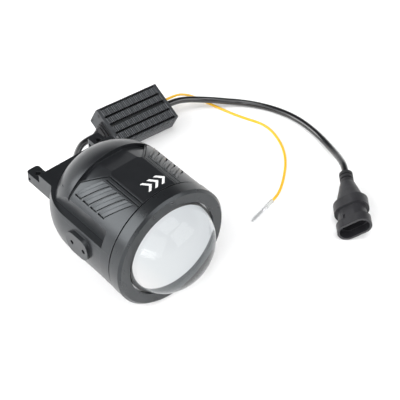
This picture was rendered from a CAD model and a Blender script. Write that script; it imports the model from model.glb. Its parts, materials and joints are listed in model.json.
"""Studio scene of a projector fog light, with its driver box, power cable and control wire."""

import json
from math import cos, pi, radians, sin

import bmesh
import bpy
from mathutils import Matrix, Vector


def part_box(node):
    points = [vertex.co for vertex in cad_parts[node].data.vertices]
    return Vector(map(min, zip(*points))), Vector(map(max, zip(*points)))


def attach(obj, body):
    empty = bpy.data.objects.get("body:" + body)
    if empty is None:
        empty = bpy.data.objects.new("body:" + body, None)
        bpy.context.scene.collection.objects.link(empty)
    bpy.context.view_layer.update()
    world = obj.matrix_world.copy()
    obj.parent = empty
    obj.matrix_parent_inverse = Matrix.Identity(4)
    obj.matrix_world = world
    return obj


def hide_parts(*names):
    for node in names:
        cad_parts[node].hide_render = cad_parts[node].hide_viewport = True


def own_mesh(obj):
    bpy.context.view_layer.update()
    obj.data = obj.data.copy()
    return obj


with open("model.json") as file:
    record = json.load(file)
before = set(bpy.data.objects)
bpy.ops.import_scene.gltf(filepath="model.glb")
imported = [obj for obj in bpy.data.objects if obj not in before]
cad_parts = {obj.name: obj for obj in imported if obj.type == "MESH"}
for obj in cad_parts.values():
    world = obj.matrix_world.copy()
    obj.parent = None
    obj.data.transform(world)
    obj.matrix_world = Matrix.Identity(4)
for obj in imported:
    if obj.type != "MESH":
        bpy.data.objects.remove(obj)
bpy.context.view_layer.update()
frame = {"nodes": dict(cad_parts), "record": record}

MM = 0.001
nodes = frame["nodes"]
rest_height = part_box("bezel_ring")[0].z      # the surface that the lamp lies on

# ---------------------------------------------------------------- camera

camera_place = (-0.437, -0.5322, 0.7104)
camera_down = 44.1         # degrees below the horizon
camera_heading = -41.0     # degrees about the vertical, where 0 looks along +Y
focal_length = 135         # millimetres, as is the sensor's width
sensor_width = 36
far_clip = 20              # metres

camera = bpy.data.objects.new("camera", bpy.data.cameras.new("camera"))
bpy.context.scene.collection.objects.link(camera)
camera.location = camera_place
camera.rotation_euler = (radians(90 - camera_down), 0, radians(camera_heading))
camera.data.sensor_width = sensor_width
camera.data.lens = focal_length
camera.data.clip_end = far_clip
bpy.context.scene.camera = camera
bpy.context.scene.view_settings.view_transform = "Standard"

# ---------------------------------------------------------------- leads

# Radii and routes are in millimetres, in the shared frame.
cable_radius = 2.5
wire_radius = 0.95
floor_cable = rest_height / MM + cable_radius
floor_wire = rest_height / MM + wire_radius

lamp_lead_route = [
    (10.9, 107.0, -17.0),
    (10.9, 115.6, -17.0),
    (15.2, 124.6, -18.8),
    (26.2, 135.9, -22.3),
    (36.58, 142.48, -24.61),
    (47.54, 142.35, -25.56),
]

power_cable_route = [
    (114.74, 140.79, -31.70),
    (122.91, 140.69, -32.41),
    (133.4, 138.0, -34.7),
    (142.6, 133.0, -37.0),
    (150.0, 127.0, -37.8),
    (157.8, 121.2, -39.6),
    (167.4, 114.6, -41.8),
    (175.2, 105.0, floor_cable),
    (181.2, 93.6, floor_cable),
    (185.6, 81.0, floor_cable),
    (187.4, 68.0, floor_cable),
    (187.0, 55.0, floor_cable),
    (185.1, 42.9, -42.2),
    (182.2, 32.2, -41.2),
    (178.4, 22.0, -38.9),
    (173.8, 12.4, -35.9),
    (169.2, 4.42, -33.8),
    (164.08, -2.0, -33.8),
]

control_wire_route = [
    (114.96, 144.39, -29.74),
    (121.93, 144.31, -30.34),
    (130.2, 145.8, -33.3),
    (137.4, 147.2, -38.0),
    (143.2, 146.6, -42.1),
    (147.0, 142.4, floor_wire),
    (148.6, 136.2, floor_wire),
    (150.4, 128.4, floor_wire),
    (152.6, 119.6, floor_wire),
    (155.6, 109.2, floor_wire),
    (159.6, 98.6, floor_wire),
    (163.6, 89.8, floor_wire),
    (164.9, 80.2, floor_wire),
    (162.6, 69.0, floor_wire),
    (157.8, 57.2, floor_wire),
    (150.4, 46.4, floor_wire),
    (141.4, 37.6, floor_wire),
    (131.8, 29.8, floor_wire),
    (122.8, 24.0, floor_wire),
    (115.6, 20.9, -43.5),
    (108.5, 19.2, -43.5),
]


def lead(name, route, radius):
    """Round cord: a smooth line with the route's points, in millimetres, as its control points.

    The points carry the cord's radius and the bevel is a unit one, so that the curve's box is
    its true one.
    """
    curve = bpy.data.curves.new(name, "CURVE")
    curve.dimensions = "3D"
    curve.bevel_depth = 1.0
    curve.bevel_resolution = 6
    curve.resolution_u = 16
    curve.use_fill_caps = True
    spline = curve.splines.new("NURBS")
    spline.points.add(len(route) - 1)
    for point, place in zip(spline.points, route):
        point.co = (place[0] * MM, place[1] * MM, place[2] * MM, 1)
        point.radius = radius * MM
    spline.order_u = 3
    spline.use_endpoint_u = True
    piece = bpy.data.objects.new(name, curve)
    bpy.context.scene.collection.objects.link(piece)
    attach(piece, "lamp")
    return piece


lamp_lead = lead("lamp_lead_line", lamp_lead_route, cable_radius)
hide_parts("lamp_lead")

power_cable = lead("power_cable_line", power_cable_route, cable_radius)
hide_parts("power_cable")

control_wire = lead("control_wire_line", control_wire_route, wire_radius)
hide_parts("control_wire")

# ---------------------------------------------------------------- materials

# Most values of the noise texture lie in this range.
noise_low, noise_high = 0.3, 0.7


class Surface:
    """A material with a Principled shader, and short calls that add to its nodes.

    Distances and places are in metres, in object space, and scales are in waves per metre.
    """

    def __init__(self, name, color, roughness, metallic=0.0, specular=0.5):
        self.material = bpy.data.materials.new(name)
        self.material.use_nodes = True
        self.tree = self.material.node_tree
        self.shader = self.tree.nodes["Principled BSDF"]
        self.set("Base Color", (*color, 1))
        self.set("Roughness", roughness)
        self.set("Metallic", metallic)
        self.set("Specular IOR Level", specular)
        self.coordinates = self.node("TexCoord").outputs["Object"]

    def set(self, socket, value):
        """Sets one of the shader's own sockets."""
        self.shader.inputs[socket].default_value = value

    def drive(self, socket, output):
        """Links a node's output to one of the shader's sockets."""
        self.link(output, self.shader.inputs[socket])

    def link(self, output, target):
        self.tree.links.new(output, target)

    def node(self, kind, **settings):
        """A new shader node; each setting is a socket's name, with _ in place of a space."""
        node = self.tree.nodes.new("ShaderNode" + kind)
        for name, value in settings.items():
            node.inputs[name.replace("_", " ")].default_value = value
        return node

    def noise(self, scale, detail=4.0, roughness=0.6, stretch=(1, 1, 1)):
        """Noise texture; stretch multiplies its scale along each axis."""
        mapping = self.node("Mapping", Scale=stretch)
        self.link(self.coordinates, mapping.inputs["Vector"])
        texture = self.node("TexNoise", Scale=scale, Detail=detail, Roughness=roughness)
        self.link(mapping.outputs["Vector"], texture.inputs["Vector"])
        return texture.outputs["Fac"]

    def waves(self, scale, axis="X"):
        """Bands across an axis."""
        texture = self.node("TexWave", Scale=scale)
        texture.bands_direction = axis
        self.link(self.coordinates, texture.inputs["Vector"])
        return texture.outputs["Fac"]

    def remap(self, value, low, high, start=noise_low, end=noise_high):
        """value from start to end becomes low to high."""
        node = self.node("MapRange", From_Min=start, From_Max=end, To_Min=low, To_Max=high)
        self.link(value, node.inputs["Value"])
        return node.outputs["Result"]

    def ramp(self, value, *stops):
        """Colour ramp: each stop is (position, (r, g, b))."""
        node = self.node("ValToRGB")
        while len(node.color_ramp.elements) < len(stops):
            node.color_ramp.elements.new(0.5)
        for element, (position, color) in zip(node.color_ramp.elements, stops):
            element.position = position
            element.color = (*color, 1)
        self.link(value, node.inputs["Fac"])
        return node.outputs["Color"]

    def scalar(self, operation, *values):
        """Math node on the given outputs."""
        node = self.node("Math")
        node.operation = operation
        for value, target in zip(values, node.inputs):
            self.link(value, target)
        return node.outputs["Value"]

    def vector(self, operation, value, constant=None, result="Vector"):
        """Vector Math node on an output and, unless the operation takes only one, a constant."""
        node = self.node("VectorMath")
        node.operation = operation
        first, second = node.inputs[:2]
        self.link(value, first)
        if constant is not None:
            second.default_value = constant
        return node.outputs[result]

    def blend(self, factor, first, second):
        """Colour from first to second with the factor; either can be an output or (r, g, b)."""
        node = self.node("Mix")
        node.data_type = "RGBA"
        inputs = {socket.identifier: socket for socket in node.inputs}
        self.link(factor, inputs["Factor_Float"])
        for source, target in ((first, inputs["A_Color"]), (second, inputs["B_Color"])):
            if isinstance(source, tuple):
                target.default_value = (*source, 1)
            else:
                self.link(source, target)
        return next(socket for socket in node.outputs if socket.identifier == "Result_Color")

    def mottle(self, pattern, first, second, start=noise_low, end=noise_high):
        """Base colour that goes from the first to the second as the pattern rises."""
        self.drive("Base Color", self.ramp(pattern, (start, first), (end, second)))

    def vary_gloss(self, pattern, low, high):
        """Roughness that goes from low to high as the pattern rises."""
        self.drive("Roughness", self.remap(pattern, low, high))

    def bump(self, height, distance, strength=1.0):
        """Adds a bump whose full height is distance on top of the ones before it."""
        node = self.node("Bump", Strength=strength, Distance=distance)
        self.link(height, node.inputs["Height"])
        normal = self.shader.inputs["Normal"]
        if normal.is_linked:
            self.link(normal.links[0].from_socket, node.inputs["Normal"])
        self.link(node.outputs["Normal"], normal)


def blasted(name, color, roughness):
    """Bead-blasted aluminium: a fine grain, slight patches in gloss, softened edges."""
    surface = Surface(name, color, roughness, specular=0.52)
    soft_edge = surface.node("Bevel", Radius=0.35 * MM)
    surface.drive("Normal", soft_edge.outputs["Normal"])
    surface.set("Specular Tint", (0.90, 0.96, 1.0, 1))
    surface.vary_gloss(surface.noise(160, detail=5), roughness - 0.01, roughness + 0.01)
    surface.bump(surface.noise(3200, detail=2), 0.02 * MM, 0.5)
    return surface


def anodised(name, dark, light, roughness):
    """Bead-blasted, black anodised aluminium with slight patches in tone."""
    surface = blasted(name, light, roughness)
    surface.mottle(surface.noise(45, detail=3), dark, light)
    return surface


def moulded(name, dark, light, roughness, grain=2200):
    """Moulded plastic or rubber with a fine spark-eroded grain."""
    surface = Surface(name, light, roughness, specular=0.45)
    surface.mottle(surface.noise(60, detail=4), dark, light)
    surface.vary_gloss(surface.noise(220, detail=4), roughness - 0.05, roughness + 0.08)
    surface.bump(surface.noise(grain, detail=3), 0.06 * MM, 0.7)
    return surface


def machined(name, color, roughness, stretch):
    """Bare or plated metal with fine tool marks, drawn out across the stretched axes."""
    surface = Surface(name, color, roughness, metallic=1.0)
    marks = surface.noise(900, detail=5, stretch=stretch)
    surface.vary_gloss(marks, roughness - 0.08, roughness + 0.1)
    surface.bump(marks, 0.02 * MM, 0.5)
    shaded = tuple(channel * 0.82 for channel in color)
    surface.mottle(surface.noise(80, detail=3), shaded, color)
    return surface


def coated(name, color, scuffed, roughness, coat):
    """Smooth extruded cable sheath with a thin gloss and faint scuffs."""
    surface = Surface(name, color, roughness)
    surface.set("Coat Weight", coat)
    surface.set("Coat Roughness", 0.1)
    scuffs = surface.noise(400, detail=6, roughness=0.7)
    surface.mottle(scuffs, scuffed, color, start=0.35, end=0.65)
    surface.bump(surface.noise(700, detail=3), 0.03 * MM, 0.6)
    return surface


# The driver box's middle, and the directions up and across its finned face as it lies tilted.
driver_centre = tuple((low + high) / 2 for low, high in zip(*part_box("driver_body")))
driver_across = (0.04698, 0.90966, 0.41268)
driver_up = (0.07324, -0.41516, 0.90679)
# From the middle, each pair is how far the groove is wholly black and where the ribs begin.
groove_height = (7.5 * MM, 7.9 * MM)
groove_width = (15.3 * MM, 15.5 * MM)
groove_black = (0.002, 0.002, 0.002)
ridge_foot = (0.022, 0.023, 0.025)
ridge_top = (0.098, 0.102, 0.110)
ridges_per_metre = 165      # scale of the wave texture
ridge_height = 0.4 * MM


def ribbed_driver():
    """The driver's finned extrusion, with fine bright ridges on its ribs and black grooves."""
    surface = blasted("driver_ribs", ridge_top, 0.42)
    ridges = surface.waves(ridges_per_metre)
    surface.bump(ridges, ridge_height, 0.9)
    ribs = surface.ramp(ridges, (0.2, ridge_foot), (0.8, ridge_top))
    offset = surface.vector("SUBTRACT", surface.coordinates, driver_centre)
    masks = []
    for axis, (start, end) in ((driver_up, groove_height), (driver_across, groove_width)):
        along = surface.vector("DOT_PRODUCT", offset, axis, result="Value")
        masks.append(surface.remap(surface.scalar("ABSOLUTE", along), 1.0, 0.0, start, end))
    in_groove = surface.scalar("MULTIPLY", *masks)
    surface.drive("Base Color", surface.blend(in_groove, ribs, groove_black))
    return surface


def mirror_finish():
    """Vapour-deposited chrome with a trace of haze."""
    surface = Surface("mirror_finish", (0.93, 0.93, 0.94), 0.06, metallic=1.0)
    surface.vary_gloss(surface.noise(120, detail=5), 0.04, 0.12)
    return surface


def circuit_board():
    """Green solder mask over a grid of paler copper tracks."""
    dark_mask, light_mask, track = (0.015, 0.10, 0.04), (0.020, 0.13, 0.05), (0.05, 0.25, 0.10)
    surface = Surface("circuit_board", dark_mask, 0.35)
    tracks = surface.node(
        "TexBrick",
        Color1=(*dark_mask, 1),
        Color2=(*light_mask, 1),
        Mortar=(*track, 1),
        Scale=400,
        Mortar_Size=0.04,
    )
    surface.link(surface.coordinates, tracks.inputs["Vector"])
    surface.drive("Base Color", tracks.outputs["Color"])
    surface.bump(tracks.outputs["Fac"], 0.05 * MM, 0.5)
    return surface


def phosphor():
    """Yellow phosphor of an unlit white LED."""
    dark, light = (0.80, 0.60, 0.07), (0.92, 0.78, 0.16)
    surface = Surface("phosphor", light, 0.35)
    surface.mottle(surface.noise(6000, detail=2), dark, light, start=0.35, end=0.65)
    return surface


def winding():
    """Enamelled copper wire in close turns about a vertical axis."""
    surface = Surface("winding", (0.55, 0.22, 0.08), 0.3, metallic=0.9)
    surface.bump(surface.waves(800, axis="Z"), 0.3 * MM, 0.8)
    return surface


def print_ink():
    """Thin screen print, slightly worn."""
    worn, full = (0.42, 0.42, 0.42), (0.74, 0.74, 0.74)
    surface = Surface("print_ink", full, 0.5)
    surface.mottle(surface.noise(900, detail=6), worn, full, start=0.34, end=0.5)
    return surface


def lens_glass():
    """Clear optical glass with faint ripples from pressing.

    Its index is far below real glass's, so that the frosted face shows through with little
    distortion.
    """
    surface = Surface("lens_glass", (1.0, 1.0, 1.0), 0.0)
    surface.set("Transmission Weight", 1.0)
    surface.set("IOR", 1.12)
    surface.set("Coat Weight", 0.4)
    surface.set("Coat Roughness", 0.12)
    surface.bump(surface.noise(60, detail=1), 0.04 * MM, 0.2)
    return surface


frost_radius = 30.4 * MM                 # bright part of the lens's rear face
frost_edge = 0.5 * MM                    # width of the step to the ring round it
frost_centre = (2.4 * MM, 0, -0.8 * MM)
frost_ring = (0.10, 0.115, 0.125)
face_plane = (1, 0, 1)                   # drops the part of an offset along the beam
fade_direction = (0.8, 0, 0.6)           # from the brightest edge to the dimmest
fade_reach = 28 * MM
frost_glow = 0.78


def frosted_face():
    """The lens's stippled rear face, which scatters the light, less so in its outer ring."""
    surface = Surface("frosted_face", (0.04, 0.04, 0.04), 0.6)
    offset = surface.vector("SUBTRACT", surface.coordinates, frost_centre)
    in_face = surface.vector("MULTIPLY", offset, face_plane)
    reach = surface.vector("LENGTH", in_face, result="Value")
    bright = surface.remap(reach, 1.0, 0.0, frost_radius - frost_edge, frost_radius)
    slope = surface.vector("DOT_PRODUCT", surface.coordinates, fade_direction, result="Value")
    fade = surface.ramp(
        surface.remap(slope, 0.0, 1.0, -fade_reach, fade_reach),
        (0.0, (1.0, 1.0, 1.0)),
        (0.22, (0.86, 0.90, 0.92)),
        (1.0, (0.70, 0.74, 0.77)),
    )
    surface.drive("Emission Color", surface.blend(bright, frost_ring, fade))
    surface.set("Emission Strength", frost_glow)
    surface.bump(surface.noise(1400, detail=2), 0.1 * MM, 0.6)
    return surface


def clear_sleeve():
    """Clear heat-shrink tube, slightly cloudy."""
    surface = Surface("clear_sleeve", (0.92, 0.93, 0.92), 0.25)
    surface.set("Transmission Weight", 0.55)
    surface.set("IOR", 1.45)
    surface.bump(surface.noise(500, detail=3, stretch=(1, 1, 3)), 0.08 * MM, 0.5)
    return surface


body_finish = anodised("body_finish", (0.007, 0.0075, 0.0085), (0.012, 0.0125, 0.014), 0.30)
bezel_finish = anodised("bezel_finish", (0.007, 0.0075, 0.0085), (0.011, 0.0115, 0.0125), 0.28)
driver_finish = anodised("driver_finish", (0.022, 0.023, 0.025), (0.034, 0.035, 0.038), 0.42)
black_nylon = moulded("black_nylon", (0.009, 0.009, 0.010), (0.016, 0.016, 0.018), 0.48)
plug_nylon = moulded("plug_nylon", (0.012, 0.012, 0.014), (0.022, 0.022, 0.025), 0.42, grain=1500)
seal_rubber = moulded("seal_rubber", (0.008, 0.008, 0.008), (0.014, 0.014, 0.014), 0.6)
black_paint = moulded("black_paint", (0.010, 0.010, 0.010), (0.018, 0.018, 0.018), 0.4)
core_metal = machined("core_metal", (0.72, 0.72, 0.74), 0.34, stretch=(1, 12, 1))
screw_metal = machined("screw_metal", (0.30, 0.30, 0.31), 0.38, stretch=(1, 1, 6))
bright_metal = machined("bright_metal", (0.68, 0.69, 0.70), 0.28, stretch=(1, 1, 8))
tinned_metal = machined("tinned_metal", (0.90, 0.91, 0.92), 0.55, stretch=(1, 1, 8))
cable_sheath = coated("cable_sheath", (0.006, 0.006, 0.007), (0.010, 0.010, 0.011), 0.2, coat=0.6)
wire_sheath = coated("wire_sheath", (0.84, 0.47, 0.004), (0.78, 0.43, 0.004), 0.42, coat=0.2)

finishes = {
    "anodised_body": body_finish,
    "driver_aluminium": driver_finish,
    "mark_ink": print_ink(),
    "lens_glass": lens_glass(),
    "retainer_steel": black_paint,
    "seal_rubber": seal_rubber,
    "gland_nylon": black_nylon,
    "screw_steel": screw_metal,
    "core_aluminium": core_metal,
    "reflector_chrome": mirror_finish(),
    "circuit_board": circuit_board(),
    "led_phosphor": phosphor(),
    "shield_steel": black_paint,
    "coil_copper": winding(),
    "plunger_steel": bright_metal,
    "driver_parts": black_nylon,
    "cable_sheath": cable_sheath,
    "wire_insulation": wire_sheath,
    "sleeve_clear": clear_sleeve(),
    "tinned_metal": tinned_metal,
    "plug_plastic": plug_nylon,
}


def dress(piece, surface):
    """Gives a piece one material in place of any that it has."""
    piece.data.materials.clear()
    piece.data.materials.append(surface.material)


for part in frame["record"]["subparts"]:
    dress(nodes[part["node"]], finishes[part["material_slot"]])
dress(nodes["bezel_ring"], bezel_finish)
dress(nodes["driver_body"], ribbed_driver())

for piece, surface, slot_name in (
    (lamp_lead, cable_sheath, "cable_sheath"),
    (power_cable, cable_sheath, "cable_sheath"),
    (control_wire, wire_sheath, "wire_insulation"),
):
    dress(piece, surface)

# ---------------------------------------------------------------- spring under the plunger

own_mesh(nodes["return_spring"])

# ---------------------------------------------------------------- frosted rear face of the lens

side_gap = 0.2 * MM
rear_gap = 0.3 * MM
lens_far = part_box("lens")[1]
cup_radius = lens_far.x - side_gap       # inside the side of the lens's flange
cup_rear = lens_far.y - rear_gap         # inside the lens's rear face
cup_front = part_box("lens_retainer")[1].y + side_gap
cup_thickness = 0.15 * MM
cup_sides = 128


def frosted_cup():
    """Thin stippled layer just inside the lens's rear face and the side of its flange."""
    sheet = bmesh.new()
    rims = []
    for y in (cup_front, cup_rear):
        rim = []
        for step in range(cup_sides):
            angle = 2 * pi * step / cup_sides
            rim.append(sheet.verts.new((cup_radius * cos(angle), y, cup_radius * sin(angle))))
        rims.append(rim)
    front, rear = rims
    for step in range(cup_sides):
        after = (step + 1) % cup_sides
        sheet.faces.new((front[step], front[after], rear[after], rear[step]))
    sheet.faces.new(rear)
    mesh = bpy.data.meshes.new("frosted_cup")
    sheet.to_mesh(mesh)
    sheet.free()
    cup = bpy.data.objects.new("frosted_cup", mesh)
    bpy.context.scene.collection.objects.link(cup)
    solid = cup.modifiers.new("thickness", "SOLIDIFY")
    solid.thickness = cup_thickness
    dress(cup, frosted_face())
    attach(cup, "lamp")


frosted_cup()

# ---------------------------------------------------------------- stage and light

floor_size = 12
light_target = Vector((0.06, 0.05, 0))
lights = (
    # name, place, width and height, power
    ("key_light", (-1.35, -0.55, 0.95), (2.0, 1.6), 24),
    ("side_light", (-1.45, -0.30, 0.36), (1.3, 0.5), 12),
    ("fill_light", (0.6, -1.3, 1.1), (1.6, 1.2), 18),
    ("top_light", (0.1, -0.2, 1.7), (1.3, 1.3), 16),
    ("rim_light", (-1.0, 0.95, 0.85), (1.3, 1.1), 24),
)
# The sky's ramp goes with the height of the direction: 0 at the horizon and 1 overhead.
sky_stops = ((0.12, (1.0, 1.0, 1.0)), (0.48, (0.04, 0.042, 0.045)))
sky_strength = 1.3


def floor():
    """Large pale sheet under the object."""
    bpy.ops.mesh.primitive_plane_add(size=floor_size, location=(0, 0, rest_height))
    sheet = bpy.context.object
    sheet.name = "floor"
    dress(sheet, Surface("floor_paper", (0.95, 0.95, 0.95), 0.9, specular=0.1))


def sky():
    """Even studio surround: bright near the horizon, darker overhead."""
    world = bpy.data.worlds.new("studio")
    world.use_nodes = True
    tree = world.node_tree
    place = tree.nodes.new("ShaderNodeTexCoord")
    split = tree.nodes.new("ShaderNodeSeparateXYZ")
    ramp = tree.nodes.new("ShaderNodeValToRGB")
    for element, (position, color) in zip(ramp.color_ramp.elements, sky_stops):
        element.position = position
        element.color = (*color, 1)
    tree.links.new(place.outputs["Generated"], split.inputs["Vector"])
    tree.links.new(split.outputs["Z"], ramp.inputs["Fac"])
    background = tree.nodes["Background"]
    tree.links.new(ramp.outputs["Color"], background.inputs["Color"])
    background.inputs["Strength"].default_value = sky_strength
    bpy.context.scene.world = world


def softbox(name, place, size, power):
    """Rectangular area light that faces the lamp's body."""
    light = bpy.data.lights.new(name, "AREA")
    light.shape = "RECTANGLE"
    light.size, light.size_y = size
    light.energy = power
    holder = bpy.data.objects.new(name, light)
    holder.location = place
    aim = light_target - Vector(place)
    holder.rotation_euler = aim.to_track_quat("-Z", "Y").to_euler()
    bpy.context.scene.collection.objects.link(holder)


floor()
sky()
for row in lights:
    softbox(*row)

# ---------------------------------------------------------------- size and hand over

bpy.context.view_layer.update()
